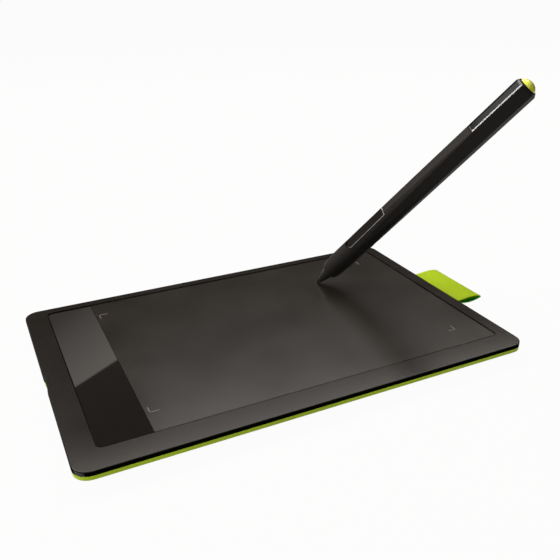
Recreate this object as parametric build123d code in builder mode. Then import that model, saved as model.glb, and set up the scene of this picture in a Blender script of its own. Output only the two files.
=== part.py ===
from build123d import *
from math import cos, radians, sin
import os

os.makedirs("parts", exist_ok=True)

# A small pen tablet with its cordless pen and fabric pen loop, in millimetres, +Z up.
# The origin is the middle of the tablet's footprint on the desk. +X points to the pen loop,
# +Y away from the user. The pen leans over the drawing sheet with its tip just above it.

# Tablet, driving sizes
tablet_width = 210.0
tablet_depth = 146.0
corner_radius = 7.0
wall = 1.4
reveal = 0.2

# Levels above the desk
underside_z = 0.8
tuck_z = 4.8
parting_z = 6.7
plate_z = 6.85
recess_z = 7.85
top_z = 8.7

# Clearances
fit_gap = 0.3
groove = 0.25
overrun = 1.0

# Frame around the strip and the drawing sheet
bezel_left = 10.8
bezel_right = 7.0
bezel_back = 5.7
bezel_front = 12.8
recess_radius = 2.7
strip_width = 21.9
recess_width = tablet_width - bezel_left - bezel_right
recess_depth = tablet_depth - bezel_front - bezel_back
recess_left = bezel_left - tablet_width / 2
recess_centre = ((bezel_left - bezel_right) / 2, (bezel_front - bezel_back) / 2)

# Screws, one above each foot
screw_inset_x = 19.0
screw_inset_y = 18.0
screw_x = tablet_width / 2 - screw_inset_x
screw_y = tablet_depth / 2 - screw_inset_y
shank_radius = 1.0
head_radius = 2.0
head_height = 1.1
boss_radius = 2.5
pillar_top_z = 3.6
foot_seat_z = 1.3
screw_seat_z = foot_seat_z + fit_gap + head_height

# Socket for the lead in the left side
socket_y = -3.5
socket_width = 7.5
socket_height = 2.5
socket_length = 5.5
socket_z = 6.2
scoop_depth = 0.4
scoop_width = 13.7
mouth_inset = 0.7
mouth_x = mouth_inset - tablet_width / 2
scoop_radius = (scoop_width**2 / 4 + scoop_depth**2) / (2 * scoop_depth)

# Pen loop in the right side
loop_length = 41.5
loop_y = 4.75
ribbon = 0.65
loop_z = 5.8
loop_reach = 19.3
loop_height = 3.6
tail_length = 11.0
slot_floor_z = loop_z - ribbon - fit_gap

# Stack under the top cover
board_margin_x = 13.0
board_margin_y = 7.0
bare_width = 22.0
board_width = tablet_width - 2 * board_margin_x
board_depth = recess_depth - 2 * board_margin_y
board_y = recess_centre[1]
board_thickness = 0.8
film_thickness = 0.35
shield_thickness = 0.3
board_z = plate_z - board_thickness
film_z = board_z - film_thickness
shield_z = film_z - shield_thickness
shielded_width = board_width - bare_width
shielded_x = bare_width / 2


def level(height):
    """Horizontal sketch plane at a height above the desk."""
    return Plane.XY.offset(height)


def screw_spots():
    """The four screw positions."""
    return GridLocations(2 * screw_x, 2 * screw_y, 2, 2)


# The socket's opening, looking along +X from the mouth
socket_plane = Plane(origin=(mouth_x, socket_y, socket_z), x_dir=(0, 1, 0), z_dir=(1, 0, 0))


# Bottom cover: moulded tray a little smaller than the top cover, its lower side tucked in all round
tuck_inset = 9.0
tuck_corner = 4.0
floor_z = 2.1
shoulder_z = 5.55
floor_inset = 9.3
rib = 1.0
rib_rows = 3
rib_columns = 4
rib_margin = 5.0
rib_row_length = shielded_width - 2 * rib_margin
rib_column_length = board_depth - 2 * rib_margin
pillar_radius = 3.4
foot_length = 16.0
foot_width = 7.0
anchor_inset = 10.0
anchor_x = tablet_width / 2 - anchor_inset
anchor_z = 4.2
anchor_pad = 4.0
anchor_pads = 3
anchor_pad_pitch = 16.0
with BuildPart() as bottom_cover:
    with BuildSketch(level(underside_z)):
        RectangleRounded(tablet_width - 2 * tuck_inset, tablet_depth - 2 * tuck_inset, tuck_corner)
    with BuildSketch(level(tuck_z)):
        RectangleRounded(tablet_width - 2 * reveal, tablet_depth - 2 * reveal, corner_radius - reveal)
    loft(ruled=True)
    with BuildSketch(level(tuck_z)):
        RectangleRounded(tablet_width - 2 * reveal, tablet_depth - 2 * reveal, corner_radius - reveal)
    extrude(amount=parting_z - tuck_z)
    # the hollow follows the outside
    with BuildSketch(level(floor_z)):
        RectangleRounded(tablet_width - 2 * floor_inset, tablet_depth - 2 * floor_inset, tuck_corner)
    with BuildSketch(level(shoulder_z)):
        RectangleRounded(tablet_width - 2 * wall, tablet_depth - 2 * wall, corner_radius - wall)
    loft(ruled=True, mode=Mode.SUBTRACT)
    with BuildSketch(level(shoulder_z)):
        RectangleRounded(tablet_width - 2 * wall, tablet_depth - 2 * wall, corner_radius - wall)
    extrude(amount=parting_z - shoulder_z + overrun, mode=Mode.SUBTRACT)
    # ribs that carry the shield plate
    with BuildSketch(level(floor_z)):
        with Locations((shielded_x, board_y)):
            with GridLocations(0, rib_column_length / rib_rows, 1, rib_rows):
                Rectangle(rib_row_length, rib)
            with GridLocations(rib_row_length / rib_columns, 0, rib_columns, 1):
                Rectangle(rib, rib_column_length)
    extrude(amount=shield_z - floor_z)
    # pads under the loop's anchor and pillars round the screws
    with BuildSketch(level(floor_z)):
        with Locations((anchor_x, loop_y)):
            with GridLocations(0, anchor_pad_pitch, 1, anchor_pads):
                Rectangle(anchor_pad, rib)
    extrude(amount=anchor_z - floor_z)
    with BuildSketch(level(floor_z)):
        with screw_spots():
            Circle(pillar_radius)
    extrude(amount=pillar_top_z - floor_z)
    # foot recesses, screw head bores and shank holes
    with BuildSketch(level(underside_z - overrun)):
        with screw_spots():
            SlotOverall(foot_length + 2 * fit_gap, foot_width + 2 * fit_gap)
    extrude(amount=foot_seat_z - underside_z + overrun, mode=Mode.SUBTRACT)
    with BuildSketch(level(foot_seat_z)):
        with screw_spots():
            Circle(head_radius + fit_gap)
    extrude(amount=screw_seat_z - foot_seat_z, mode=Mode.SUBTRACT)
    with BuildSketch(level(screw_seat_z)):
        with screw_spots():
            Circle(shank_radius + fit_gap)
    extrude(amount=pillar_top_z - screw_seat_z, mode=Mode.SUBTRACT)
    # slot for the ribbon, open to the rim
    with BuildSketch(level(slot_floor_z)):
        with Locations((tablet_width / 2, loop_y)):
            Rectangle(2 * tail_length, loop_length + 2 * fit_gap)
    extrude(amount=parting_z - slot_floor_z, mode=Mode.SUBTRACT)
    # scoop and opening for the socket
    with BuildSketch(level(underside_z)):
        with Locations((scoop_depth - tablet_width / 2 - scoop_radius, socket_y)):
            Circle(scoop_radius + reveal)
    extrude(amount=parting_z - underside_z, mode=Mode.SUBTRACT)
    with BuildSketch(socket_plane):
        Rectangle(socket_width + 2 * fit_gap, socket_height + 2 * fit_gap)
    extrude(amount=socket_length, both=True, mode=Mode.SUBTRACT)
bottom_cover.part.label = "bottom_cover"
export_step(bottom_cover.part, "parts/bottom_cover.step")


# Top cover: frame round a shallow recess, with a lip inside the bottom cover's wall
rim_round = 0.5
lip = 0.8
lip_z = 5.85
core_z = 7.5
core_inset = 3.2
core_land = 1.2
led_inset = 11.2
led_x = recess_left + led_inset
led_y = 40.0
led_length = 1.6
led_width = 1.2
led_height = 0.5
with BuildPart() as top_cover:
    with BuildSketch(level(parting_z)):
        RectangleRounded(tablet_width, tablet_depth, corner_radius)
        with Locations((scoop_depth - tablet_width / 2 - scoop_radius, socket_y)):
            Circle(scoop_radius, mode=Mode.SUBTRACT)
    extrude(amount=top_z - parting_z)
    fillet(top_cover.faces().sort_by(Axis.Z)[-1].outer_wire().edges(), radius=rim_round)
    # recess for the strip and the sheet
    with BuildSketch(level(recess_z)):
        with Locations(recess_centre):
            RectangleRounded(recess_width, recess_depth, recess_radius)
    extrude(amount=top_z - recess_z, mode=Mode.SUBTRACT)
    # underside inside the wall, cored out under the frame
    with BuildSketch(level(parting_z)):
        RectangleRounded(tablet_width - 2 * wall, tablet_depth - 2 * wall, corner_radius - wall)
    extrude(amount=plate_z - parting_z, mode=Mode.SUBTRACT)
    with BuildSketch(level(plate_z)):
        RectangleRounded(tablet_width - 2 * core_inset, tablet_depth - 2 * core_inset, recess_radius)
        with Locations(recess_centre):
            RectangleRounded(recess_width + 2 * core_land, recess_depth + 2 * core_land,
                             recess_radius, mode=Mode.SUBTRACT)
    extrude(amount=core_z - plate_z, mode=Mode.SUBTRACT)
    # lip, left out where the ribbon comes in
    with BuildSketch(level(plate_z)):
        RectangleRounded(tablet_width - 2 * (wall + fit_gap), tablet_depth - 2 * (wall + fit_gap),
                         corner_radius - wall - fit_gap)
        RectangleRounded(tablet_width - 2 * (wall + fit_gap + lip),
                         tablet_depth - 2 * (wall + fit_gap + lip),
                         corner_radius - wall - fit_gap - lip, mode=Mode.SUBTRACT)
        with Locations((tablet_width / 2, loop_y)):
            Rectangle(2 * tail_length, loop_length + 2 * fit_gap, mode=Mode.SUBTRACT)
    extrude(amount=lip_z - plate_z)
    # bosses that take the screws
    with BuildSketch(level(pillar_top_z)):
        with screw_spots():
            Circle(boss_radius)
    extrude(amount=plate_z - pillar_top_z)
    with BuildSketch(level(pillar_top_z)):
        with screw_spots():
            Circle(shank_radius)
    extrude(amount=plate_z - pillar_top_z, mode=Mode.SUBTRACT)
    # window over the lamp and room for the socket
    with BuildSketch(level(plate_z)):
        with Locations((led_x, led_y)):
            Rectangle(led_length + 2 * fit_gap, led_width + 2 * fit_gap)
    extrude(amount=recess_z - plate_z, mode=Mode.SUBTRACT)
    with BuildSketch(socket_plane):
        Rectangle(socket_width + 2 * fit_gap, socket_height + 2 * fit_gap)
    extrude(amount=socket_length + fit_gap, both=True, mode=Mode.SUBTRACT)
top_cover.part.label = "top_cover"
export_step(top_cover.part, "parts/top_cover.step")


# Drawing sheet and touch strip panel: flat plates laid side by side in the recess
sheet_thickness = 0.5
with BuildPart() as drawing_sheet:
    with BuildSketch(level(recess_z)):
        with Locations(recess_centre):
            RectangleRounded(recess_width - 2 * groove, recess_depth - 2 * groove,
                             recess_radius - groove)
        with Locations((recess_left, recess_centre[1])):
            Rectangle(strip_width + groove / 2, recess_depth,
                      align=(Align.MIN, Align.CENTER), mode=Mode.SUBTRACT)
    extrude(amount=sheet_thickness)
drawing_sheet.part.label = "drawing_sheet"
export_step(drawing_sheet.part, "parts/drawing_sheet.step")

with BuildPart() as strip_panel:
    with BuildSketch(level(recess_z)):
        with Locations(recess_centre):
            RectangleRounded(recess_width - 2 * groove, recess_depth - 2 * groove,
                             recess_radius - groove)
        with Locations((recess_left, recess_centre[1])):
            Rectangle(strip_width - groove / 2, recess_depth,
                      align=(Align.MIN, Align.CENTER), mode=Mode.INTERSECT)
    extrude(amount=sheet_thickness)
strip_panel.part.label = "strip_panel"
export_step(strip_panel.part, "parts/strip_panel.step")


# Sensor board: glued under the top cover, with a fork that holds the socket
fork_width = 12.0
fork_setback = 3.3
fork_end_x = mouth_x + fork_setback
with BuildPart() as sensor_board:
    with BuildSketch(level(board_z)):
        with Locations((0, board_y)):
            Rectangle(board_width, board_depth)
        with Locations((fork_end_x, socket_y)):
            Rectangle(-fork_end_x, fork_width, align=(Align.MIN, Align.CENTER))
        with Locations((mouth_x, socket_y)):
            Rectangle(socket_length + fit_gap, socket_width + 2 * fit_gap,
                      align=(Align.MIN, Align.CENTER), mode=Mode.SUBTRACT)
        with screw_spots():
            Circle(boss_radius + fit_gap, mode=Mode.SUBTRACT)
    extrude(amount=board_thickness)
sensor_board.part.label = "sensor_board"
export_step(sensor_board.part, "parts/sensor_board.step")

# Lamp on top of the board, in the window behind the strip panel
with BuildPart() as status_led:
    with BuildSketch(level(plate_z)):
        with Locations((led_x, led_y)):
            Rectangle(led_length, led_width)
    extrude(amount=led_height)
status_led.part.label = "status_led"
export_step(status_led.part, "parts/status_led.step")

# Film and shield plate under the sensing part of the board
with BuildPart() as spacer_film:
    with BuildSketch(level(film_z)):
        with Locations((shielded_x, board_y)):
            Rectangle(shielded_width, board_depth)
        with screw_spots():
            Circle(boss_radius + fit_gap, mode=Mode.SUBTRACT)
    extrude(amount=film_thickness)
spacer_film.part.label = "spacer_film"
export_step(spacer_film.part, "parts/spacer_film.step")

with BuildPart() as shield_plate:
    with BuildSketch(level(shield_z)):
        with Locations((shielded_x, board_y)):
            Rectangle(shielded_width, board_depth)
        with screw_spots():
            Circle(boss_radius + fit_gap, mode=Mode.SUBTRACT)
    extrude(amount=shield_thickness)
shield_plate.part.label = "shield_plate"
export_step(shield_plate.part, "parts/shield_plate.step")

# Controller and small chips under the bare part of the board
controller_size = 9.0
controller_height = 1.0
controller_inset = 12.7
controller_y = 22.0
with BuildPart() as controller_chip:
    with BuildSketch(level(board_z)):
        with Locations((recess_left + controller_inset, controller_y)):
            Rectangle(controller_size, controller_size)
    extrude(amount=-controller_height)
controller_chip.part.label = "controller_chip"
export_step(controller_chip.part, "parts/controller_chip.step")

chip_length = 4.0
chip_width = 3.0
chip_height = 0.8
chip_inset = 14.2
chip_y = -18.0
chip_pitch_x = 8.0
chip_pitch_y = 9.0
chip_rows = 3
with BuildPart() as board_chips:
    with BuildSketch(level(board_z)):
        with Locations((recess_left + chip_inset, chip_y)):
            with GridLocations(chip_pitch_x, chip_pitch_y, 2, chip_rows):
                Rectangle(chip_length, chip_width)
    extrude(amount=-chip_height)
board_chips.part.label = "board_chips"
export_step(board_chips.part, "parts/board_chips.step")


# Socket: folded shell, moulded body with a tongue, contacts under the tongue
shell_thickness = 0.25
shell_bevel = 0.9
block_length = 1.6
tongue_width = 3.8
tongue_height = 0.6
tongue_back = 1.2
contact_width = 0.3
contact_height = 0.15
contact_pitch = 0.65
contact_count = 5
core_width = socket_width - 2 * shell_thickness
core_height = socket_height - 2 * shell_thickness
core_bevel = shell_bevel - shell_thickness / 2
with BuildPart() as usb_shell:
    with BuildSketch(socket_plane):
        with BuildSketch(mode=Mode.PRIVATE) as shell_hole:
            Rectangle(core_width, core_height)
            chamfer(shell_hole.vertices().group_by(Axis.Y)[0], length=core_bevel)
        Rectangle(socket_width, socket_height)
        chamfer(vertices().group_by(Axis.Y)[0], length=shell_bevel)
        add(shell_hole.sketch, mode=Mode.SUBTRACT)
    extrude(amount=socket_length)
usb_shell.part.label = "usb_shell"
export_step(usb_shell.part, "parts/usb_shell.step")

block_plane = socket_plane.offset(socket_length - block_length)
with BuildPart() as usb_insulator:
    with BuildSketch(block_plane):
        Rectangle(core_width, core_height)
        chamfer(vertices().group_by(Axis.Y)[0], length=core_bevel)
    extrude(amount=block_length)
    with BuildSketch(block_plane):
        Rectangle(tongue_width, tongue_height, align=(Align.CENTER, Align.MIN))
    extrude(amount=tongue_back + block_length - socket_length)
usb_insulator.part.label = "usb_insulator"
export_step(usb_insulator.part, "parts/usb_insulator.step")

with BuildPart() as usb_contacts:
    with BuildSketch(block_plane):
        with GridLocations(contact_pitch, 0, contact_count, 1):
            Rectangle(contact_width, contact_height, align=(Align.CENTER, Align.MAX))
    extrude(amount=tongue_back + block_length - socket_length)
usb_contacts.part.label = "usb_contacts"
export_step(usb_contacts.part, "parts/usb_contacts.step")


# Pen loop: folded ribbon, its two ends lying on each other in the slot
station_shares = (0.22, 0.38, 0.62, 0.86)
crest_shares = (0.04, 0.11, 0.26, 0.19)
belly_shares = (-0.36, -0.61, -0.72, -0.55)
pinch_share = 0.19
pinch_drop_share = -0.1
tip_drop_share = -0.11
edge_x = tablet_width / 2
tip = (edge_x + loop_reach, loop_z + tip_drop_share * loop_height)
pinch = (edge_x + pinch_share * loop_reach, loop_z + pinch_drop_share * loop_height)
crest = [(edge_x + s * loop_reach, loop_z + c * loop_height)
         for s, c in zip(station_shares, crest_shares)]
belly = [(edge_x + s * loop_reach, loop_z + b * loop_height)
         for s, b in zip(station_shares, belly_shares)]
crest_inside = [(x, z - ribbon) for x, z in crest[1:]]
belly_inside = [(x, z + ribbon) for x, z in belly[1:]]
with BuildPart() as pen_loop:
    with BuildSketch(Plane.XZ.offset(-loop_y)):
        with BuildLine():
            Spline((edge_x, loop_z + ribbon), *crest, tip, *reversed(belly),
                   (edge_x, loop_z - ribbon))
            Polyline((edge_x, loop_z - ribbon), (edge_x - tail_length, loop_z - ribbon),
                     (edge_x - tail_length, loop_z + ribbon), (edge_x, loop_z + ribbon))
        make_face()
        with BuildLine():
            Spline(pinch, *crest_inside, (tip[0] - ribbon, tip[1]), *reversed(belly_inside), pinch)
        make_face(mode=Mode.SUBTRACT)
    extrude(amount=loop_length / 2, both=True)
pen_loop.part.label = "pen_loop"
export_step(pen_loop.part, "parts/pen_loop.step")

# Bar to which the ribbon's ends are bonded, on pads of the bottom cover
with BuildPart() as loop_anchor:
    with BuildSketch(level(anchor_z)):
        with Locations((anchor_x, loop_y)):
            Rectangle(anchor_pad, loop_length)
    extrude(amount=loop_z - ribbon - anchor_z)
loop_anchor.part.label = "loop_anchor"
export_step(loop_anchor.part, "parts/loop_anchor.step")


# Four rubber feet, each over a screw
foot_round = 0.3
with BuildPart() as rubber_feet:
    with BuildSketch():
        with screw_spots():
            SlotOverall(foot_length, foot_width)
    extrude(amount=foot_seat_z)
    fillet(rubber_feet.faces().group_by(Axis.Z)[0].edges(), radius=foot_round)
rubber_feet.part.label = "rubber_feet"
export_step(rubber_feet.part, "parts/rubber_feet.step")

# Four pan-head screws with a cross recess
shank_length = 3.6
drive_width = 0.5
drive_length = 2.4
drive_depth = 0.6
with BuildPart() as case_screws:
    with BuildSketch(level(screw_seat_z)):
        with screw_spots():
            Circle(head_radius)
    extrude(amount=-head_height)
    with BuildSketch(level(screw_seat_z)):
        with screw_spots():
            Circle(shank_radius)
    extrude(amount=shank_length)
    with BuildSketch(level(screw_seat_z - head_height)):
        with screw_spots():
            Rectangle(drive_length, drive_width)
            Rectangle(drive_width, drive_length)
    extrude(amount=drive_depth, mode=Mode.SUBTRACT)
case_screws.part.label = "case_screws"
export_step(case_screws.part, "parts/case_screws.step")


# Pen, driving sizes. Stations are distances along the pen from the tip of the nib.
nib_x = 48.46
nib_y = 36.77
nib_lift = 0.36
nib_point = Vector(nib_x, nib_y, recess_z + sheet_thickness + nib_lift)
lean_azimuth = -43.68
lean_elevation = 47.46
switch_roll = 37.6
grip_radius = 5.93
tail_radius = 6.28
nose_start = 10.5
nose_end = 26.0
nose_radius = 4.2
nose_bevel = 0.3
body_end = 152.6
pen_back = 154.3
front_bore = 3.4
main_bore = 4.4
rear_bore = 4.0
rear_step = 148.0

# Pen, stations that follow the nib's length
nib_length = 27.0
ferrite_setback = 2.8
holder_setback = 2.2
holder_cap = 1.2
nib_travel = 0.5
sensor_length = 2.8
rocker_setback = 2.3
rocker_length = 29.2
pcb_setback = 2.5
ferrite_end = nib_length - ferrite_setback
bore_step = ferrite_end + groove
holder_start = nib_length - holder_setback
holder_end = nib_length + holder_cap
sensor_start = holder_end + nib_travel
sensor_end = sensor_start + sensor_length
rocker_front = sensor_start + rocker_setback
rocker_back = rocker_front + rocker_length
pivot_station = (rocker_front + rocker_back) / 2
pcb_start = sensor_end + pcb_setback

lean = radians(lean_elevation)
turn = radians(lean_azimuth)
pen_dir = Vector(cos(lean) * cos(turn), cos(lean) * sin(turn), sin(lean))
straight_up = Vector(-sin(lean) * cos(turn), -sin(lean) * sin(turn), cos(lean))
switch_dir = straight_up.rotate(Axis((0, 0, 0), pen_dir), switch_roll)
pen_axis = Axis(nib_point, pen_dir)
switch_axis = Axis(nib_point, switch_dir)
pen_frame = Plane(origin=nib_point, x_dir=switch_dir, z_dir=pen_dir)
pen_side = Plane(origin=nib_point, x_dir=pen_dir, z_dir=pen_dir.cross(switch_dir))


def facet_plane(height):
    """Plane across the switch side at a height above the pen's axis, its X along the pen."""
    return Plane(origin=nib_point + switch_dir * height, x_dir=pen_dir, z_dir=switch_dir)


# Nib: plain rod with a worn round tip
nib_radius = 0.85
with BuildPart() as nib:
    with BuildSketch(pen_side):
        Rectangle(nib_length, nib_radius, align=(Align.MIN, Align.MIN))
        fillet(vertices().sort_by(Axis.Y)[-2:].sort_by(Axis.X)[0], radius=nib_radius * 0.9)
    revolve(axis=pen_axis)
nib.part.label = "nib"
export_step(nib.part, "parts/nib.step")

# Holder pressed on the nib's back end, in front of the pressure sensor
holder_radius = 2.2
with BuildPart() as nib_holder:
    with BuildSketch(pen_frame.offset(holder_start)):
        Circle(holder_radius)
    extrude(amount=holder_end - holder_start)
    with BuildSketch(pen_frame.offset(holder_start)):
        Circle(nib_radius)
    extrude(amount=nib_length - holder_start, mode=Mode.SUBTRACT)
nib_holder.part.label = "nib_holder"
export_step(nib_holder.part, "parts/nib_holder.step")

# Front cone: plugged into the grip, carries the ferrite core in its back
cone_start = 2.2
cone_tip_radius = 1.5
cone_base_radius = 3.8
plug_end = 13.0
ferrite_start = 12.0
ferrite_radius = 2.2
nib_bore = nib_radius + fit_gap
with BuildPart() as front_cone:
    with BuildSketch(pen_side):
        with BuildLine():
            Polyline((cone_start, nib_bore), (cone_start, cone_tip_radius),
                     (nose_start, cone_base_radius), (nose_start, front_bore),
                     (plug_end, front_bore), (plug_end, ferrite_radius),
                     (ferrite_start, ferrite_radius), (ferrite_start, nib_bore),
                     (cone_start, nib_bore))
        make_face()
    revolve(axis=pen_axis)
front_cone.part.label = "front_cone"
export_step(front_cone.part, "parts/front_cone.step")

# Ferrite core and the coil wound on it
with BuildPart() as ferrite_core:
    with BuildSketch(pen_frame.offset(ferrite_start)):
        Circle(ferrite_radius)
        Circle(nib_bore, mode=Mode.SUBTRACT)
    extrude(amount=ferrite_end - ferrite_start)
ferrite_core.part.label = "ferrite_core"
export_step(ferrite_core.part, "parts/ferrite_core.step")

coil_margin = 1.0
coil_start = plug_end + fit_gap
coil_end = ferrite_end - coil_margin
coil_radius = front_bore - fit_gap
with BuildPart() as coil_winding:
    with BuildSketch(pen_frame.offset(coil_start)):
        Circle(coil_radius)
        Circle(ferrite_radius, mode=Mode.SUBTRACT)
    extrude(amount=coil_end - coil_start)
coil_winding.part.label = "coil_winding"
export_step(coil_winding.part, "parts/coil_winding.step")

# Pressure sensor and, behind it, the carrier that holds the pen's board
sensor_radius = 2.9
with BuildPart() as pressure_sensor:
    with BuildSketch(pen_frame.offset(sensor_start)):
        Circle(sensor_radius)
    extrude(amount=sensor_end - sensor_start)
pressure_sensor.part.label = "pressure_sensor"
export_step(pressure_sensor.part, "parts/pressure_sensor.step")

carrier_end = 118.0
carrier_flat = 0.4
carrier_radius = main_bore - fit_gap
with BuildPart() as inner_carrier:
    with BuildSketch(pen_frame.offset(sensor_end)):
        Circle(carrier_radius)
        with Locations((carrier_flat, 0)):
            Rectangle(carrier_radius, 2 * carrier_radius,
                      align=(Align.MIN, Align.CENTER), mode=Mode.SUBTRACT)
    extrude(amount=carrier_end - sensor_end)
inner_carrier.part.label = "inner_carrier"
export_step(inner_carrier.part, "parts/inner_carrier.step")

# The pen's board with two push switches under the rocker and a few chips
pcb_length = 70.0
pcb_width = 6.4
pcb_thickness = 0.8
pcb_top = carrier_flat + pcb_thickness
with BuildPart() as pen_board:
    with BuildSketch(facet_plane(carrier_flat)):
        with Locations((pcb_start, 0)):
            Rectangle(pcb_length, pcb_width, align=(Align.MIN, Align.CENTER))
    extrude(amount=pcb_thickness)
pen_board.part.label = "pen_board"
export_step(pen_board.part, "parts/pen_board.step")

push_switch_pitch = 19.2
push_switch_length = 3.5
push_switch_width = 3.0
push_switch_height = 1.6
plunger_radius = 0.8
plunger_height = 0.4
with BuildPart() as side_switches:
    with BuildSketch(facet_plane(pcb_top)):
        with Locations((pivot_station, 0)):
            with GridLocations(push_switch_pitch, 0, 2, 1):
                Rectangle(push_switch_length, push_switch_width)
    extrude(amount=push_switch_height)
    with BuildSketch(facet_plane(pcb_top + push_switch_height)):
        with Locations((pivot_station, 0)):
            with GridLocations(push_switch_pitch, 0, 2, 1):
                Circle(plunger_radius)
    extrude(amount=plunger_height)
side_switches.part.label = "side_switches"
export_step(side_switches.part, "parts/side_switches.step")

pen_chip_start = 72.0
pen_chip_pitch = 9.0
pen_chip_count = 3
pen_chip_height = 0.9
with BuildPart() as pen_chips:
    with BuildSketch(facet_plane(pcb_top)):
        with Locations((pen_chip_start + pen_chip_pitch, 0)):
            with GridLocations(pen_chip_pitch, 0, pen_chip_count, 1):
                Rectangle(chip_length, chip_width)
    extrude(amount=pen_chip_height)
pen_chips.part.label = "pen_chips"
export_step(pen_chips.part, "parts/pen_chips.step")


# Rocker: two-way side switch that tips on a cross pin, standing proud at its back end
rocker_half_width = 3.0
rocker_underside = 3.75
rocker_front_rise = 4.95
rocker_back_rise = 5.72
rocker_front_round = 2.7
rocker_back_round = 0.8
rocker_edge = 0.3
pivot_height = 3.5
pin_radius = 0.5
pin_reach = 0.45
lug_length = 2.4
lug_drop = 0.7


def rocker_outline(gap):
    """Plan of the rocker, widened all round by a gap, drawn in the current sketch."""
    front, back = rocker_front - gap, rocker_back + gap
    half = rocker_half_width + gap
    with Locations((front, 0)):
        Rectangle(back - front, 2 * half, align=(Align.MIN, Align.CENTER))
    corners = vertices().sort_by(Axis.X)
    fillet(corners[:2], radius=rocker_front_round + gap)
    fillet(corners[-2:], radius=rocker_back_round)


with BuildPart() as switch_rocker:
    with BuildSketch(facet_plane(rocker_underside)):
        rocker_outline(0)
    extrude(amount=rocker_back_rise - rocker_underside)
    with BuildSketch(pen_side):
        with BuildLine():
            Polyline((rocker_front, rocker_underside), (rocker_front, rocker_front_rise),
                     (rocker_back, rocker_back_rise), (rocker_back, rocker_underside),
                     (rocker_front, rocker_underside))
        make_face()
    extrude(amount=rocker_half_width, both=True, mode=Mode.INTERSECT)
    top_face = switch_rocker.faces().filter_by(GeomType.PLANE).sort_by(switch_axis)[-1]
    chamfer(top_face.edges(), length=rocker_edge)
    # lug and pin
    with BuildSketch(facet_plane(rocker_underside)):
        with Locations((pivot_station, 0)):
            Rectangle(lug_length, 2 * rocker_half_width)
    extrude(amount=-lug_drop)
    with BuildSketch(pen_side):
        with Locations((pivot_station, pivot_height)):
            Circle(pin_radius)
    extrude(amount=rocker_half_width + pin_reach, both=True)
switch_rocker.part.label = "switch_rocker"
export_step(switch_rocker.part, "parts/switch_rocker.step")


# Barrel blank: a round body whose six long facets fade in toward the back, three of them
# narrow and three broad, and end in a short chamfer
nose_shares = ((0.25, 0.36), (0.5, 0.64), (0.75, 0.87))
nose_tangent_shares = (1, 0.17)
flank_front = 6.05
inlay_start = 122.0
narrow_flank = 5.62
broad_flank = 5.32
back_radius = 5.05
narrow_back = 4.95
broad_back = 4.8
facet_count = 3
facet_turn = 360 / facet_count


def flanks(narrow, broad):
    """Six-sided outline with alternate distances from the axis, a narrow side on the switch side."""
    half = (broad - narrow * cos(radians(facet_turn / 2))) / sin(radians(facet_turn / 2))
    side = ((narrow, -half), (narrow, half))
    corners = []
    for turn_index in range(facet_count):
        angle = radians(turn_index * facet_turn)
        for x, y in side:
            corners.append((x * cos(angle) - y * sin(angle), x * sin(angle) + y * cos(angle)))
    Polygon(*corners, align=None)


flank_sections = (
    (nose_start - overrun, flank_front, flank_front),
    (nose_end, flank_front, flank_front),
    (inlay_start, narrow_flank, broad_flank),
    (body_end, narrow_flank, broad_flank),
    (pen_back, narrow_back, broad_back),
)
nose_rim = (nose_start + nose_bevel, nose_radius)
nose_line = [(nose_start + s * (nose_end - nose_start), nose_radius + r * (grip_radius - nose_radius))
             for s, r in nose_shares]
with BuildPart() as barrel_blank:
    with BuildSketch(pen_side):
        with BuildLine():
            Spline(nose_rim, *nose_line, (nose_end, grip_radius),
                   tangents=(nose_tangent_shares, (1, 0)))
            Polyline((nose_end, grip_radius), (body_end, tail_radius), (pen_back, back_radius),
                     (pen_back, 0), (nose_start, 0), (nose_start, nose_radius - nose_bevel), nose_rim)
        make_face()
    revolve(axis=pen_axis)
    with BuildPart(mode=Mode.INTERSECT):
        for station, narrow, broad in flank_sections:
            with BuildSketch(pen_frame.offset(station)):
                flanks(narrow, broad)
        loft(ruled=True)

# Barrel: the blank, bored from the back, with the rocker's pocket and the inlay's seat
pocket_floor = 2.7
pin_hole_reach = 0.7
inlay_seat = 5.0
inlay_half_width = 2.25
inlay_gap = 0.35
with BuildPart() as barrel:
    add(barrel_blank.part)
    with BuildSketch(pen_side):
        with BuildLine():
            Polyline((nose_start, 0), (nose_start, front_bore), (bore_step, front_bore),
                     (bore_step, main_bore), (rear_step, main_bore), (rear_step, rear_bore),
                     (pen_back, rear_bore), (pen_back, 0), (nose_start, 0))
        make_face()
    revolve(axis=pen_axis, mode=Mode.SUBTRACT)
    with BuildSketch(facet_plane(pocket_floor)):
        rocker_outline(fit_gap)
    extrude(amount=tail_radius - pocket_floor, mode=Mode.SUBTRACT)
    with BuildSketch(pen_side):
        with Locations((pivot_station, pivot_height)):
            Circle(pin_radius + fit_gap)
    extrude(amount=rocker_half_width + pin_hole_reach, both=True, mode=Mode.SUBTRACT)
    with BuildSketch(facet_plane(inlay_seat)):
        with Locations((inlay_start - inlay_gap, 0)):
            Rectangle(pen_back - inlay_start + overrun, 2 * (inlay_half_width + inlay_gap),
                      align=(Align.MIN, Align.CENTER))
    extrude(amount=tail_radius - inlay_seat, mode=Mode.SUBTRACT)
barrel.part.label = "barrel"
export_step(barrel.part, "parts/barrel.step")

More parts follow.
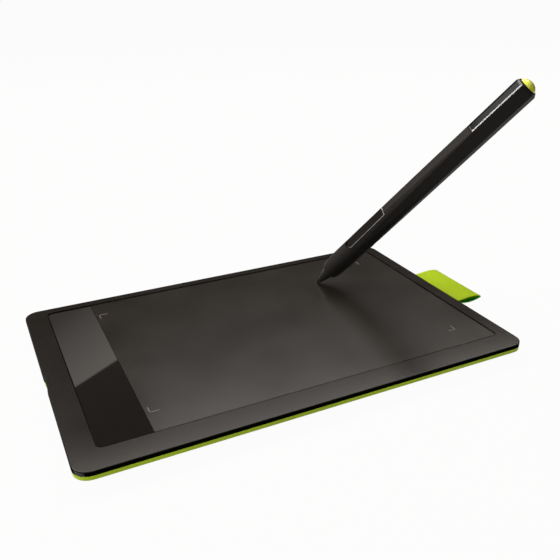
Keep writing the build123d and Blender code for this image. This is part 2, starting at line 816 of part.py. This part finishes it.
# Gloss inlay: bevelled strip seated flush in the facet behind the rocker
inlay_end = 153.6
inlay_bevel = 0.45
with BuildPart() as gloss_inlay:
    add(barrel_blank.part)
    with BuildSketch(pen_frame.offset(inlay_start)):
        Polygon((inlay_seat, -inlay_half_width), (inlay_seat, inlay_half_width),
                (narrow_flank - inlay_bevel, inlay_half_width),
                (narrow_flank, inlay_half_width - inlay_bevel),
                (narrow_flank, inlay_bevel - inlay_half_width),
                (narrow_flank - inlay_bevel, -inlay_half_width), align=None)
    extrude(amount=inlay_end - inlay_start, mode=Mode.INTERSECT)
    front_face = gloss_inlay.faces().sort_by(pen_axis)[0]
    chamfer(front_face.edges().sort_by(switch_axis)[-1], length=inlay_bevel)
gloss_inlay.part.label = "gloss_inlay"
export_step(gloss_inlay.part, "parts/gloss_inlay.step")

# End dome: coloured plug in the back of the barrel
dome_radius = 4.6
dome_rise = 2.6
dome_ball = (dome_radius**2 + dome_rise**2) / (2 * dome_rise)
plug_length = 6.0
with BuildPart() as end_dome:
    with BuildSketch(pen_side):
        with Locations((pen_back + dome_rise - dome_ball, 0)):
            Circle(dome_ball)
        with Locations((pen_back, 0)):
            Rectangle(dome_rise, dome_ball, align=(Align.MIN, Align.MIN), mode=Mode.INTERSECT)
        with Locations((pen_back - plug_length, 0)):
            Rectangle(plug_length, rear_bore, align=(Align.MIN, Align.MIN))
    revolve(axis=pen_axis)
end_dome.part.label = "end_dome"
export_step(end_dome.part, "parts/end_dome.step")
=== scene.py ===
from math import pi, radians

import bmesh
import bpy
from mathutils import Matrix, Vector


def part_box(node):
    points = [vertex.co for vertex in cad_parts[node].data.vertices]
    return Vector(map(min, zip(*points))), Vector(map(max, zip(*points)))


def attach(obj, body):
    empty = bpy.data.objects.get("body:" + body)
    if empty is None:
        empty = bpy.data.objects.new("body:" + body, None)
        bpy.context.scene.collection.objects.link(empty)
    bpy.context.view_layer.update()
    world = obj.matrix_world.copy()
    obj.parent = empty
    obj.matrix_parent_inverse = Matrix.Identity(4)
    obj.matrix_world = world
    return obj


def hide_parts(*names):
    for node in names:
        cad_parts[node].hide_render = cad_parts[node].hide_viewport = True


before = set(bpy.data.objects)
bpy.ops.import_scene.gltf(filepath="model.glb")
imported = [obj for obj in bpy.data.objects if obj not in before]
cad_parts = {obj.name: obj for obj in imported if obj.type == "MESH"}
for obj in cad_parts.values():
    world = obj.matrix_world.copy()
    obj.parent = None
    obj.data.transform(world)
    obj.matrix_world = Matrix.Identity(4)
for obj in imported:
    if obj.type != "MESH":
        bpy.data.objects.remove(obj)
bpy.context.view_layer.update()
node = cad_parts


# Top cover. The upper half of the case, one moulding in charcoal plastic that four screws hold to
# the lower half. Its face has a fine spark-eroded satin and rolls over a little towards the front.
# The band round its side is the same plastic, coloured near black and without gloss: painted shade
# for the dark that the upright side faces.
def new_material(name):
    """A material, with its nodes, its links and its shader."""
    material = bpy.data.materials.new(name)
    material.use_nodes = True
    tree = material.node_tree
    return material, tree.nodes, tree.links, tree.nodes["Principled BSDF"]


def noise(nodes, links, place, scale, detail):
    """Even noise over the piece, with so many grains to the metre."""
    texture = nodes.new("ShaderNodeTexNoise")
    texture.inputs["Scale"].default_value = scale
    texture.inputs["Detail"].default_value = detail
    links.new(place, texture.inputs["Vector"])
    return texture.outputs["Fac"]


def reckon(nodes, links, operation, *values):
    """One step of arithmetic on sockets and plain numbers."""
    step = nodes.new("ShaderNodeMath")
    step.operation = operation
    for socket, value in zip(step.inputs, values):
        if isinstance(value, (int, float)):
            socket.default_value = value
        else:
            links.new(value, socket)
    return step.outputs["Value"]


def spread(nodes, links, value, source, result):
    """A value stretched from one range to another."""
    stretch = nodes.new("ShaderNodeMapRange")
    stretch.inputs["From Min"].default_value, stretch.inputs["From Max"].default_value = source
    stretch.inputs["To Min"].default_value, stretch.inputs["To Max"].default_value = result
    links.new(value, stretch.inputs["Value"])
    return stretch.outputs["Result"]


noise_low, noise_high = 0.3, 0.7


def tinted(nodes, links, value, colour, dark_share, pale_share):
    """A colour that is darker where the noise is low and paler where it is high."""
    ramp = nodes.new("ShaderNodeValToRGB")
    dark, pale = ramp.color_ramp.elements
    dark.position, pale.position = noise_low, noise_high
    dark.color = (*[c * dark_share for c in colour], 1)
    pale.color = (*[min(c * pale_share, 1) for c in colour], 1)
    links.new(value, ramp.inputs["Fac"])
    return ramp.outputs["Color"]


def relief(nodes, links, height, depth, strength=1, under=None):
    """A fine relief, on top of another one where there is one under it."""
    bump = nodes.new("ShaderNodeBump")
    bump.inputs["Strength"].default_value = strength
    bump.inputs["Distance"].default_value = depth
    links.new(height, bump.inputs["Height"])
    if under:
        links.new(under, bump.inputs["Normal"])
    return bump.outputs["Normal"]


def rolled_front(nodes, links, place, start, radius):
    """A face that leans forward more and more in front of a line, as on a large roll."""
    along = nodes.new("ShaderNodeSeparateXYZ")
    links.new(place, along.inputs["Vector"])
    past = reckon(nodes, links, "SUBTRACT", start, along.outputs["Y"])
    past = reckon(nodes, links, "MAXIMUM", past, 0)
    square = reckon(nodes, links, "MULTIPLY", past, past)
    fall = reckon(nodes, links, "MULTIPLY", square, -0.5 / radius)
    return relief(nodes, links, fall, depth=1)


def moulded_plastic(name, colour, roughness, grain, depth, specular=0.5, roll=None):
    """Moulded plastic: pits so wide and so deep in metres, and slow drifts in tone and gloss."""
    material, nodes, links, shader = new_material(name)
    shader.inputs["Specular IOR Level"].default_value = specular
    place = nodes.new("ShaderNodeTexCoord").outputs["Object"]
    drift = noise(nodes, links, place, scale=35, detail=3)
    pitting = noise(nodes, links, place, scale=1 / grain, detail=4)
    pitting_share = 0.35
    mottle = reckon(nodes, links, "MULTIPLY", drift, 1 - pitting_share)
    mottle = reckon(nodes, links, "MULTIPLY_ADD", pitting, pitting_share, mottle)
    tone = tinted(nodes, links, mottle, colour, dark_share=0.88, pale_share=1.1)
    links.new(tone, shader.inputs["Base Color"])
    dullness = spread(nodes, links, mottle, source=(noise_low, noise_high),
                      result=(roughness * 0.9, min(roughness * 1.12, 1)))
    links.new(dullness, shader.inputs["Roughness"])
    under = rolled_front(nodes, links, place, *roll) if roll else None
    satin = relief(nodes, links, pitting, depth, strength=0.6, under=under)
    links.new(satin, shader.inputs["Normal"])
    return material


def dress(name, *materials):
    """Puts materials on a CAD node, whose shape stays as it is."""
    slots = node[name].data.materials
    slots.clear()
    for material in materials:
        slots.append(material)


roll_start = -0.045
roll_radius = 0.45
side_band = 0.0008
dress("top_cover",
      moulded_plastic("satin_charcoal", (0.0165, 0.0138, 0.0118), roughness=0.26, grain=0.00035,
                      depth=0.000004, specular=0.3, roll=(roll_start, roll_radius)),
      moulded_plastic("painted_shade_side", (0.0028, 0.0032, 0.0012), roughness=0.3, grain=0.0008,
                      depth=0.000003, specular=0))
cover_low, cover_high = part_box("top_cover")
# Upright faces round the outside take the second material, the painted shade of the side band.
for face in node["top_cover"].data.polygons:
    x, y, _ = face.center
    outside = (x < cover_low.x + side_band or x > cover_high.x - side_band
               or y < cover_low.y + side_band or y > cover_high.y - side_band)
    upright = face.normal.z < 0.5
    if outside and upright:
        face.material_index = 1


# Bottom cover. The lower half of the case, a tray moulded through in lime plastic with a satin
# face. It shows as a band under the dark side of the top cover.
dress("bottom_cover",
      moulded_plastic("satin_lime", (0.47, 0.66, 0.022), roughness=0.38, grain=0.0004,
                      depth=0.00001, specular=0.2))


# Groove shadow. A fine matt black line laid on the upper edge of the recess, round the strip and the
# sheet,
# is painted shadow: it stands for the shade in the narrow groove there, and stays almost black in
# any light.
def new_piece(name, mesh, *materials, smooth=False):
    """An object at the origin with the shape of a bmesh."""
    piece = bpy.data.objects.new(name, bpy.data.meshes.new(name))
    mesh.to_mesh(piece.data)
    mesh.free()
    bpy.context.scene.collection.objects.link(piece)
    for material in materials:
        piece.data.materials.append(material)
    for face in piece.data.polygons:
        face.use_smooth = smooth
    return piece


groove = 0.00025
rim_width = 0.00028
rim_height = 0.00002
rim_radius = 0.0027
corner_steps = 8
recess_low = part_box("strip_panel")[0] - Vector((groove, groove, 0))
recess_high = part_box("drawing_sheet")[1] + Vector((groove, groove, 0))
rim_place = (recess_low + recess_high) / 2
rim_place.z = cover_high.z
rim_span = recess_high - recess_low + 2 * Vector((rim_width, rim_width, 0))
rim_span.z = 1
rim = bmesh.new()
bmesh.ops.create_grid(rim, x_segments=1, y_segments=1, size=0.5,
                      matrix=Matrix.LocRotScale(rim_place, None, rim_span))
bmesh.ops.bevel(rim, geom=rim.verts[:], offset=rim_radius + rim_width, offset_type="OFFSET",
                affect="VERTICES", segments=corner_steps, profile=0.5, material=-1)
recess = rim.faces[:]
bmesh.ops.inset_region(rim, faces=recess, thickness=rim_width, use_boundary=True,
                       use_even_offset=True)
bmesh.ops.delete(rim, geom=recess, context="FACES_ONLY")
raised = bmesh.ops.extrude_face_region(rim, geom=rim.faces[:])["geom"]
bmesh.ops.translate(rim, verts=[g for g in raised if isinstance(g, bmesh.types.BMVert)],
                    vec=(0, 0, rim_height))
bmesh.ops.recalc_face_normals(rim, faces=rim.faces)
# A thin near-black band on the frame's inner edge, painted shadow of the groove.
groove_shadow_line = new_piece("groove_shadow_line", rim, moulded_plastic(
    "painted_groove_shadow", (0.004, 0.0035, 0.003), roughness=0.9, grain=0.0003, depth=0.000002,
    specular=0))
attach(groove_shadow_line, "tablet")


# Drawing sheet. A charcoal film with a paper-like tooth, bonded in the recess. The pen runs on it,
# so its face is hard, and it shines softly when it is seen at a low angle.
dress("drawing_sheet",
      moulded_plastic("toothed_sheet", (0.019, 0.0163, 0.0132), roughness=0.24, grain=0.00022,
                      depth=0.000004, specular=1))


# Touch strip. A polished panel of smoked plastic, bonded in the recess beside the sheet. It mirrors
# the room as a dark window does.
dress("strip_panel",
      moulded_plastic("smoked_panel", (0.0125, 0.01, 0.0082), roughness=0.02, grain=0.004,
                      depth=0.0000004))


# Corner marks. Four thin pale angles show which part of the sheet senses the pen. They are screen
# printed on the film.
sheet_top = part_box("drawing_sheet")[1].z
mark_left, mark_right = -0.0705, 0.0837
mark_front, mark_back = -0.0458, 0.0538
mark_leg = 0.0042
mark_width = 0.00032
mark_height = 0.00003
marks = bmesh.new()
for x in (mark_left, mark_right):
    for y in (mark_front, mark_back):
        inward_x = 1 if x == mark_left else -1
        inward_y = 1 if y == mark_front else -1
        for length_x, length_y in ((mark_leg, mark_width), (mark_width, mark_leg)):
            centre = Vector((x + inward_x * length_x / 2, y + inward_y * length_y / 2,
                             sheet_top + mark_height / 2))
            bmesh.ops.create_cube(marks, size=1, matrix=Matrix.LocRotScale(
                centre, None, Vector((length_x, length_y, mark_height))))
corner_marks = new_piece("corner_marks", marks, moulded_plastic(
    "printed_grey", (0.25, 0.24, 0.23), roughness=0.5, grain=0.0003, depth=0.000002))
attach(corner_marks, "tablet")


# Boards. The sensing board under the recess and the narrow board in the pen are glass-fibre
# laminate. Green solder mask covers their rows of copper tracks.
def circuit_board(name):
    """Solder mask that shows the copper tracks beneath it as paler lines."""
    material, nodes, links, shader = new_material(name)
    shader.inputs["Roughness"].default_value = 0.3
    place = nodes.new("ShaderNodeTexCoord")
    tracks = nodes.new("ShaderNodeTexBrick")
    tracks.inputs["Scale"].default_value = 300
    tracks.inputs["Color1"].default_value = (0.01, 0.11, 0.035, 1)
    tracks.inputs["Color2"].default_value = (0.012, 0.13, 0.045, 1)
    tracks.inputs["Mortar"].default_value = (0.05, 0.25, 0.09, 1)
    tracks.inputs["Mortar Size"].default_value = 0.06
    links.new(place.outputs["Object"], tracks.inputs["Vector"])
    links.new(tracks.outputs["Color"], shader.inputs["Base Color"])
    raised_tracks = relief(nodes, links, tracks.outputs["Fac"], depth=0.00003)
    links.new(raised_tracks, shader.inputs["Normal"])
    return material


solder_mask = circuit_board("solder_mask")
dress("sensor_board", solder_mask)
dress("pen_board", solder_mask)


# Shield stack. A dark foam film and a thin plate of rolled steel are bonded under the sensing
# board. They keep what is below the tablet from disturbing the pen's signal.
def sheet_metal(name, colour, roughness, streaks=(40, 1600, 1600)):
    """Rolled or drawn metal: fine streaks along the rolling direction."""
    material, nodes, links, shader = new_material(name)
    shader.inputs["Metallic"].default_value = 1
    place = nodes.new("ShaderNodeTexCoord")
    drawn = nodes.new("ShaderNodeMapping")
    drawn.inputs["Scale"].default_value = streaks
    links.new(place.outputs["Object"], drawn.inputs["Vector"])
    grain = noise(nodes, links, drawn.outputs["Vector"], scale=1, detail=5)
    tone = tinted(nodes, links, grain, colour, dark_share=0.8, pale_share=1.1)
    links.new(tone, shader.inputs["Base Color"])
    dullness = spread(nodes, links, grain, source=(0, 1),
                      result=(roughness * 0.7, min(roughness * 1.3, 1)))
    links.new(dullness, shader.inputs["Roughness"])
    return material


dress("shield_plate", sheet_metal("rolled_steel", (0.6, 0.6, 0.62), roughness=0.35))
dress("spacer_film",
      moulded_plastic("foam_film", (0.03, 0.03, 0.034), roughness=0.9, grain=0.0006,
                      depth=0.00005))


# Chips and lamp. The chips and the pen's two switches are black epoxy packages, soldered to the
# boards. A lamp of milky resin sits behind the strip and shows that the tablet is awake.
epoxy = moulded_plastic("chip_epoxy", (0.012, 0.012, 0.013), roughness=0.55, grain=0.00012,
                        depth=0.00001)
for name in ("controller_chip", "board_chips", "pen_chips", "side_switches"):
    dress(name, epoxy)
dress("status_led",
      moulded_plastic("milky_resin", (0.7, 0.7, 0.62), roughness=0.25, grain=0.0005,
                      depth=0.000002))


# Socket. A shell folded from plated sheet, round a black moulded tongue with gold-plated contacts.
# It is soldered to the edge of the sensing board.
dress("usb_shell",
      sheet_metal("plated_shell", (0.72, 0.71, 0.69), roughness=0.25, streaks=(900, 60, 900)))
dress("usb_insulator",
      moulded_plastic("socket_black", (0.015, 0.015, 0.015), roughness=0.4, grain=0.0003,
                      depth=0.000005))
dress("usb_contacts", sheet_metal("contact_gold", (0.9, 0.66, 0.28), roughness=0.2))


# Pen loop. A stiff lime ribbon in a fine plain weave, a deeper green on its inner face. It is
# folded to a flat loop. Its two ends go through the slot in the side, and are bonded to a black
# bar inside.
loop_low, loop_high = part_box("pen_loop")
loop_width = loop_high.y - loop_low.y
ribbon_thickness = 0.0003
sheet_level = 0.0058
edge_x = cover_high.x
end_x = loop_low.x + 0.0004
upper_tail, lower_tail = sheet_level - 0.0002, sheet_level - 0.0005
# The ribbon's run seen from the front: from the bar out over the top, round the tip and back.
path = (
    (end_x, upper_tail), (edge_x - 0.004, upper_tail), (edge_x - 0.0005, upper_tail),
    (edge_x + 0.0025, upper_tail), (edge_x + 0.0055, sheet_level),
    (edge_x + 0.0085, sheet_level + 0.00025), (edge_x + 0.0122, sheet_level + 0.00063),
    (edge_x + 0.0160, sheet_level + 0.0004), (edge_x + 0.0186, sheet_level),
    (edge_x + 0.01915, sheet_level - 0.00075), (edge_x + 0.0186, sheet_level - 0.00115),
    (edge_x + 0.0160, sheet_level - 0.00185), (edge_x + 0.0118, sheet_level - 0.00245),
    (edge_x + 0.0075, sheet_level - 0.0021), (edge_x + 0.0040, sheet_level - 0.00115),
    (edge_x + 0.0015, sheet_level - 0.0006), (edge_x - 0.0010, lower_tail),
    (edge_x - 0.004, lower_tail), (end_x, lower_tail),
)
centreline = bpy.data.curves.new("ribbon_path", "CURVE")
centreline.dimensions = "3D"
line = centreline.splines.new("NURBS")
line.points.add(len(path) - 1)
for point, (x, z) in zip(line.points, path):
    point.co = (x, loop_low.y, z, 1)
line.order_u = 3
line.use_endpoint_u = True
line.resolution_u = 5
path_object = bpy.data.objects.new("ribbon_path", centreline)
path_mesh = bpy.data.meshes.new_from_object(path_object)
cloth = bmesh.new()
cloth.from_mesh(path_mesh)
bpy.data.objects.remove(path_object)
cloth.verts.ensure_lookup_table()
run = cloth.verts.layers.float.new("run")
length = 0
for before, after in zip(cloth.verts[:-1], cloth.verts[1:]):
    length += (after.co - before.co).length
    after[run] = length
width_steps = 30
selvedge = cloth.edges[:]
for step in range(width_steps):
    made = bmesh.ops.extrude_edge_only(cloth, edges=selvedge)["geom"]
    selvedge = [g for g in made if isinstance(g, bmesh.types.BMEdge)]
    moved = [g for g in made if isinstance(g, bmesh.types.BMVert)]
    bmesh.ops.translate(cloth, verts=moved, vec=(0, loop_width / width_steps, 0))
bmesh.ops.recalc_face_normals(cloth, faces=cloth.faces)


def woven(name, hollow, crown):
    """Plain weave: yarns run along the ribbon and across it, darker where they dip."""
    material, nodes, links, shader = new_material(name)
    shader.inputs["Roughness"].default_value = 0.6
    shader.inputs["Specular IOR Level"].default_value = 0.1
    along = nodes.new("ShaderNodeAttribute")
    along.attribute_name = "run"
    place = nodes.new("ShaderNodeTexCoord")
    across = nodes.new("ShaderNodeSeparateXYZ")
    links.new(place.outputs["Object"], across.inputs["Vector"])
    cloth_place = nodes.new("ShaderNodeCombineXYZ")
    links.new(along.outputs["Fac"], cloth_place.inputs["X"])
    links.new(across.outputs["Y"], cloth_place.inputs["Y"])
    weft_scale, warp_scale = 700, 900
    yarns = []
    for direction, scale in (("X", weft_scale), ("Y", warp_scale)):
        yarn = nodes.new("ShaderNodeTexWave")
        yarn.bands_direction = direction
        yarn.inputs["Scale"].default_value = scale
        yarn.inputs["Distortion"].default_value = 0.4
        links.new(cloth_place.outputs["Vector"], yarn.inputs["Vector"])
        yarns.append(yarn.outputs["Fac"])
    weave = reckon(nodes, links, "MULTIPLY", *yarns)
    dye = nodes.new("ShaderNodeValToRGB")
    dye.color_ramp.elements[0].color = (*hollow, 1)
    dye.color_ramp.elements[1].color = (*crown, 1)
    dye.color_ramp.elements[1].position = 0.6
    links.new(weave, dye.inputs["Fac"])
    links.new(dye.outputs["Color"], shader.inputs["Base Color"])
    links.new(relief(nodes, links, weave, depth=0.00004), shader.inputs["Normal"])
    return material


pen_loop_ribbon = new_piece(
    "pen_loop_ribbon", cloth,
    woven("woven_lime", hollow=(0.42, 0.62, 0.012), crown=(0.58, 0.84, 0.02)),
    woven("woven_inside", hollow=(0.06, 0.55, 0.03), crown=(0.12, 0.85, 0.06)), smooth=True)
thicken = pen_loop_ribbon.modifiers.new("ribbon thickness", "SOLIDIFY")
thicken.thickness = ribbon_thickness
thicken.offset = 0
thicken.material_offset = 1
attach(pen_loop_ribbon, "tablet")
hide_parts("pen_loop")
dress("loop_anchor",
      moulded_plastic("anchor_black", (0.02, 0.02, 0.02), roughness=0.5, grain=0.0005,
                      depth=0.00001))


# Feet and screws. Four matt rubber feet are bonded in recesses of the tray. They hide the four
# blackened steel screws that hold the two covers together.
dress("rubber_feet",
      moulded_plastic("foot_rubber", (0.018, 0.018, 0.019), roughness=0.8, grain=0.0005,
                      depth=0.00004))
dress("case_screws", sheet_metal("blackened_steel", (0.12, 0.12, 0.125), roughness=0.4))


# Nib and front cone. The nib is a hard black rod that wears down and is pulled out to be changed.
# It slides in a dark satin cone pressed into the barrel, and its back end sits in a grey holder.
dress("nib",
      moulded_plastic("nib_black", (0.01, 0.01, 0.009), roughness=0.35, grain=0.0003,
                      depth=0.000004))
dress("nib_holder",
      moulded_plastic("holder_grey", (0.1, 0.1, 0.1), roughness=0.5, grain=0.0005,
                      depth=0.00001))
dress("front_cone",
      moulded_plastic("cone_olive", (0.0145, 0.0138, 0.0105), roughness=0.35, grain=0.0004,
                      depth=0.000004, specular=0.15))


# Inside the pen. A ferrite tube with an enamelled copper coil on it, the pressed can of the
# pressure sensor, and the moulded carrier that holds the board.
dress("ferrite_core",
      moulded_plastic("sintered_ferrite", (0.03, 0.03, 0.034), roughness=0.6, grain=0.0002,
                      depth=0.00002))
dress("coil_winding",
      sheet_metal("enamelled_copper", (0.7, 0.28, 0.1), roughness=0.3, streaks=(2500, 2500, 2500)))
dress("pressure_sensor", sheet_metal("pressed_can", (0.66, 0.66, 0.68), roughness=0.3))
dress("inner_carrier",
      moulded_plastic("carrier_grey", (0.06, 0.06, 0.065), roughness=0.5, grain=0.0005,
                      depth=0.00001))


# Barrel. One long moulding in matt charcoal plastic, round at the grip and six-sided towards the
# back, with a pocket for the rocker and a seat for the gloss strip.
matt_charcoal = moulded_plastic("matt_charcoal", (0.0155, 0.0138, 0.0122), roughness=0.45,
                                grain=0.0003, depth=0.000015, specular=0.04)
dress("barrel", matt_charcoal)


# Nose. The front of the barrel swells quickly behind the cone and runs out flush where the round
# grip begins. It is a shell in the same matt plastic over the moulded nose.
nib_tip = Vector((0.04846, 0.03677, 0.00871))
pen_axis = Vector((0.488965, -0.466938, 0.736806))
nose_front, nose_back = 0.0105, 0.026
mouth_radius, nose_swell = 0.0039, 0.00203
swell_power = 2.5
shell_end = nose_back + 0.001
swell_steps, turn_steps = 24, 96
merge_distance = 0.000001
# The profile runs over the swell to the shell's sunk back end, and forward again inside the wall.
profile = []
for step in range(swell_steps + 1):
    share = (step / swell_steps) ** 2
    swell = nose_swell * (1 - (1 - share) ** swell_power) ** (1 / swell_power)
    profile.append((nose_front + (nose_back - nose_front) * share, mouth_radius + swell))
profile += [(shell_end, 0.00588), (shell_end, 0.0054), (nose_front + 0.004, 0.0043),
            (nose_front, 0.00384)]
shell = bmesh.new()
sideways = pen_axis.orthogonal().normalized()
corners = [shell.verts.new(nib_tip + pen_axis * along + sideways * radius)
           for along, radius in profile]
edges = [shell.edges.new((corners[i - 1], corners[i])) for i in range(len(corners))]
bmesh.ops.spin(shell, geom=corners + edges, cent=nib_tip, axis=pen_axis, angle=2 * pi,
               steps=turn_steps, use_merge=True, use_duplicate=False)
bmesh.ops.remove_doubles(shell, verts=shell.verts, dist=merge_distance)
bmesh.ops.recalc_face_normals(shell, faces=shell.faces)
nose_shell = new_piece("nose_shell", shell, matt_charcoal, smooth=True)
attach(nose_shell, "pen")


# Rocker and inlay. The rocker is a satin black moulding that tips on a cross pin in the barrel's
# pocket. The inlay is a polished black strip bonded in a narrow facet. Their bevels are painted
# pale grey: a painted highlight for the light they catch.
satin_black = moulded_plastic("satin_black", (0.02, 0.018, 0.016), roughness=0.3, grain=0.0004,
                              depth=0.000004, specular=0.1)
polished_black = moulded_plastic("polished_black", (0.006, 0.006, 0.006), roughness=0.12,
                                 grain=0.003, depth=0.000001)
painted_highlight_edge = moulded_plastic("painted_highlight_edge", (0.34, 0.33, 0.32), roughness=0.1, grain=0.002,
                            depth=0.000001, specular=0.8)
rocker_facing = Vector((-0.855, -0.033, 0.517))
inlay_facing = Vector((-0.84, -0.04, 0.541))
# A bevel leans away from the face beside it, so that the cosine between them is in this range.
bevel_low, bevel_high = 0.55, 0.85
for name, black, facing in (("switch_rocker", satin_black, rocker_facing),
                            ("gloss_inlay", polished_black, inlay_facing)):
    dress(name, black, painted_highlight_edge)
    for face in node[name].data.polygons:
        # Faces at a bevel take the second material, the painted highlight.
        if bevel_low < face.normal.dot(facing) < bevel_high:
            face.material_index = 1


# End dome. A plug with a polished lime dome, moulded in one piece and pressed into the back of the
# barrel. It is fixed.
dress("end_dome",
      moulded_plastic("polished_lime", (0.88, 0.9, 0.07), roughness=0.15, grain=0.002,
                      depth=0.000002))


# Floor. A plain sheet of pale paper under the part. What looks at it straight, or in a mirror,
# mostly sees clean white, and a little of the paper keeps the shadow.
def looked_at(nodes, links, *looks):
    """One where a ray looks at the surface in any of these ways, and nought where it only lights."""
    ray = nodes.new("ShaderNodeLightPath")
    seen = ray.outputs[looks[0]]
    for look in looks[1:]:
        seen = reckon(nodes, links, "MAXIMUM", seen, ray.outputs[look])
    return seen


floor_reach = 6
floor_drop = 0.00005
paper_grey = 0.62
white_share = 0.96
floor = bmesh.new()
bmesh.ops.create_grid(floor, x_segments=1, y_segments=1, size=floor_reach,
                      matrix=Matrix.Translation((0, 0, -floor_drop)))
paper, nodes, links, shader = new_material("white_paper")
shader.inputs["Base Color"].default_value = (paper_grey, paper_grey, paper_grey, 1)
shader.inputs["Roughness"].default_value = 0.9
shader.inputs["Specular IOR Level"].default_value = 0.1
white = nodes.new("ShaderNodeEmission")
seen = looked_at(nodes, links, "Is Camera Ray", "Is Glossy Ray")
blend = nodes.new("ShaderNodeMixShader")
links.new(reckon(nodes, links, "MULTIPLY", seen, white_share), blend.inputs["Fac"])
links.new(shader.outputs["BSDF"], blend.inputs[1])
links.new(white.outputs["Emission"], blend.inputs[2])
links.new(blend.outputs["Shader"], nodes["Material Output"].inputs["Surface"])
studio_floor = new_piece("studio_floor", floor, paper)


# Surround. A white room, at full strength where it is seen and turned down as a light, so that the
# lamps model the part.
fill_light = 0.12
world = bpy.data.worlds.new("white_surround")
bpy.context.scene.world = world
world.use_nodes = True
nodes, links = world.node_tree.nodes, world.node_tree.links
surround = nodes["Background"]
surround.inputs["Color"].default_value = (1, 1, 1, 1)
seen = looked_at(nodes, links, "Is Camera Ray", "Is Glossy Ray", "Is Transmission Ray")
strength = spread(nodes, links, seen, source=(0, 1), result=(fill_light, 1))
links.new(strength, surround.inputs["Strength"])


# Cards. A dark ring stands round the part, and behind it a graded card with a slanted edge, which
# the touch strip mirrors. Both are seen in mirrors only, and the card in the strip alone.
warm_white = (1, 0.94, 0.88)


def reflector(name, mesh, levels, stops, axis):
    """A card that only mirrors see, its brightness graded along one axis in metres."""
    paint, nodes, links, shader = new_material(name)
    nodes.remove(shader)
    place = nodes.new("ShaderNodeTexCoord")
    along = nodes.new("ShaderNodeVectorMath")
    along.operation = "DOT_PRODUCT"
    along.inputs[1].default_value = axis
    links.new(place.outputs["Object"], along.inputs[0])
    ramp = nodes.new("ShaderNodeValToRGB")
    points = ramp.color_ramp.elements
    while len(points) < len(stops):
        points.new(0.5)
    for point, stop, level in zip(points, stops, levels):
        point.position = stop
        point.color = (*[level * share for share in warm_white], 1)
    links.new(along.outputs["Value"], ramp.inputs["Fac"])
    glow = nodes.new("ShaderNodeEmission")
    links.new(ramp.outputs["Color"], glow.inputs["Color"])
    links.new(glow.outputs["Emission"], nodes["Material Output"].inputs["Surface"])
    card = new_piece(name, mesh, paint)
    card.visible_camera = False
    card.visible_diffuse = False
    card.visible_shadow = False
    card.visible_transmission = False
    return card


def keep_to(light, *pieces):
    """Keeps a lamp or a card to the pieces that it is meant for."""
    lit = bpy.data.collections.new(light.name + "_pieces")
    for piece in pieces:
        lit.objects.link(piece)
    light.light_linking.receiver_collection = lit


ring_radius, ring_height = 1.4, 0.98
ring = bmesh.new()
bmesh.ops.create_cone(ring, cap_ends=False, segments=96, radius1=ring_radius, radius2=ring_radius,
                      depth=ring_height, matrix=Matrix.Translation((0, 0, ring_height / 2)))
reflector("dark_surround", ring, levels=(0.02, 0.02), stops=(0, 1), axis=(0, 0, 1))
card_width, card_height = 0.2, 1
card_place = (0.04, 1, card_height / 2)
patch = bmesh.new()
bmesh.ops.create_grid(patch, x_segments=1, y_segments=1, size=0.5,
                      matrix=Matrix.Translation(card_place) @ Matrix.Rotation(pi / 2, 4, "X")
                      @ Matrix.Diagonal((card_width, card_height, 1, 1)))
strip_card = reflector("strip_reflector", patch, levels=(0, 0.25, 1, 0.08, 0.08),
                       stops=(0.3, 0.45, 0.604, 0.6041, 1), axis=(0.44, 0, 1))
keep_to(strip_card, node["strip_panel"])


# Lamps. A wide softbox high behind the part lights the sheet and shades off over it. A key at the
# upper left lights all of it without being mirrored. A low lamp on the left and a high one beside
# the key are kept to the pen, and the low one also lights the lime cover and the loop.
def soft_lamp(name, place, target, width, height, radiance, colour=(1, 1, 1)):
    """A softbox at a place, facing a target, with its brightness given as radiance."""
    data = bpy.data.lights.new(name, "AREA")
    data.shape = "RECTANGLE"
    data.color = colour
    data.size = width
    data.size_y = height
    data.energy = radiance * pi * width * height
    lamp = bpy.data.objects.new(name, data)
    lamp.location = place
    lamp.rotation_euler = (Vector(target) - Vector(place)).to_track_quat("-Z", "Y").to_euler()
    bpy.context.scene.collection.objects.link(lamp)
    return lamp


soft_lamp("overhead_softbox", place=(0.022, 0.63, 1.114), target=(0, 0, 0), width=2.6, height=0.55,
          radiance=4.3, colour=(1, 0.895, 0.81))
key = soft_lamp("key_softbox", place=(-1.2, 0.56, 0.9), target=(0.05, 0, 0.05), width=0.5,
                height=0.5, radiance=9)
key.visible_glossy = False
side_lamp = soft_lamp("side_softbox", place=(-0.873, -0.66, 0.112), target=(0.11, -0.03, 0.112),
                      width=0.3, height=0.5, radiance=9)
keep_to(side_lamp, node["gloss_inlay"], node["switch_rocker"], node["bottom_cover"],
        node["end_dome"], node["barrel"], node["front_cone"], nose_shell, pen_loop_ribbon)
pen_lamp = soft_lamp("pen_softbox", place=(-0.704, 0.45, 0.86), target=(0.07, 0, 0.06), width=0.8,
                     height=0.8, radiance=9.5)
keep_to(pen_lamp, node["barrel"], node["end_dome"], node["front_cone"], nose_shell)


# Camera. It is held low over the desk, in front of the tablet and to the left of its middle, and
# looks down across the strip and the sheet to the pen.
desk_view = bpy.data.objects.new("desk_view", bpy.data.cameras.new("desk_view"))
desk_view.data.sensor_width = 36
desk_view.data.lens = 45.466
desk_view.data.shift_x = -0.08355
desk_view.data.clip_start = 0.01
desk_view.location = (-0.119176, -0.292760, 0.174004)
turn, tilt, roll = radians(27.797), radians(23.891), radians(-0.107)
desk_view.rotation_euler = (Matrix.Rotation(-turn, 3, "Z") @ Matrix.Rotation(pi / 2 - tilt, 3, "X")
                            @ Matrix.Rotation(roll, 3, "Z")).to_euler()
bpy.context.scene.collection.objects.link(desk_view)
bpy.context.scene.camera = desk_view
bpy.context.scene.view_settings.view_transform = "Standard"
